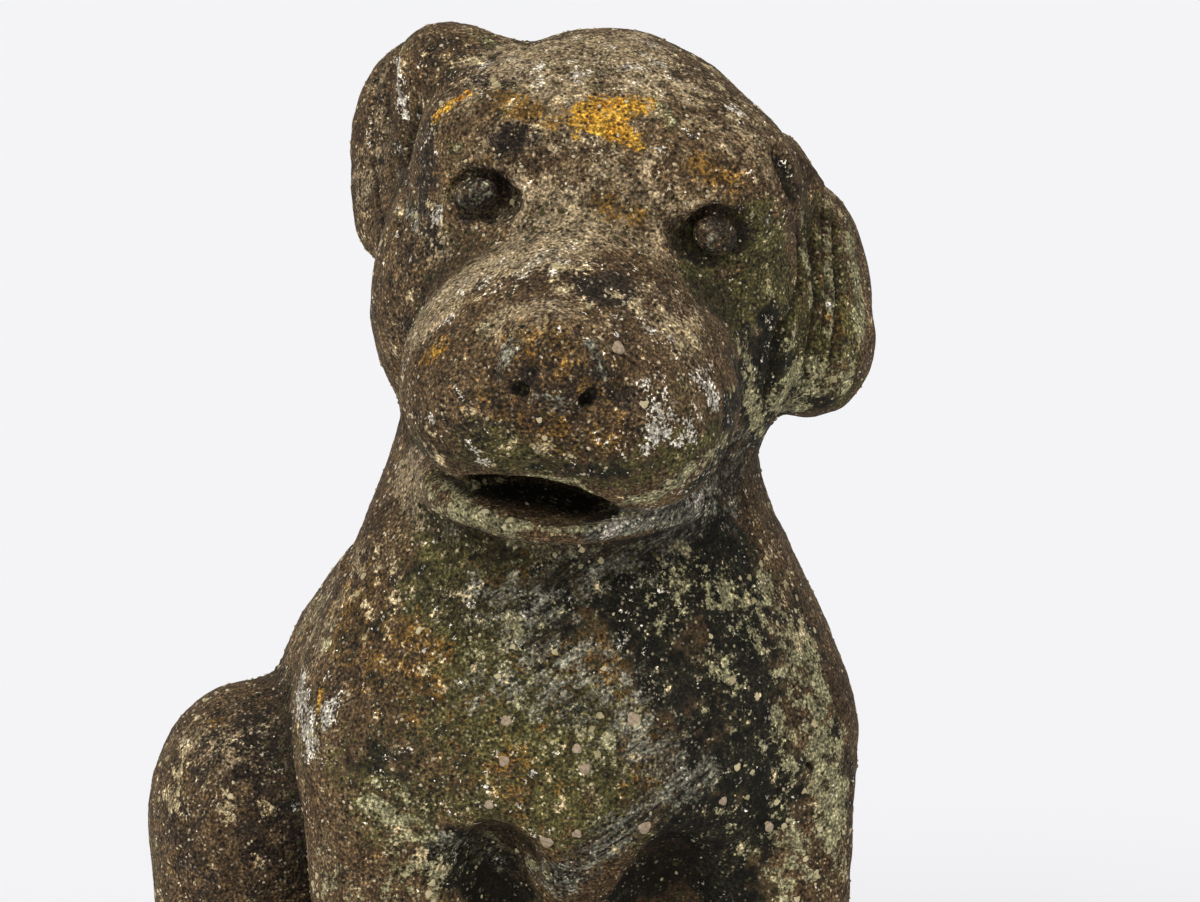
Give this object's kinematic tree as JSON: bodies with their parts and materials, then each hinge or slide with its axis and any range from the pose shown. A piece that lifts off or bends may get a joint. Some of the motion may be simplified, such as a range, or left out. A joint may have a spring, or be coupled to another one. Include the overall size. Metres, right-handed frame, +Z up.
{
  "type": "stone dog garden ornament",
  "caption": "Cast-stone garden ornament of a seated puppy with a cocked head and folded ears, in one with a low round-cornered plinth; it stands by its own weight.",
  "frame": {"origin": "on the ground, under the middle of the plinth's underside", "axes": "+Z up; the dog's chest faces -Y and its left side is towards +X"},
  "size_m": [0.2736, 0.308, 0.4292],
  "materials": {
    "cast_stone": "weathered, matt, with lichen and dark algae"
  },
  "bodies": {
    "root": {"seated_dog": "cast_stone"}
  },
  "joints": []
}
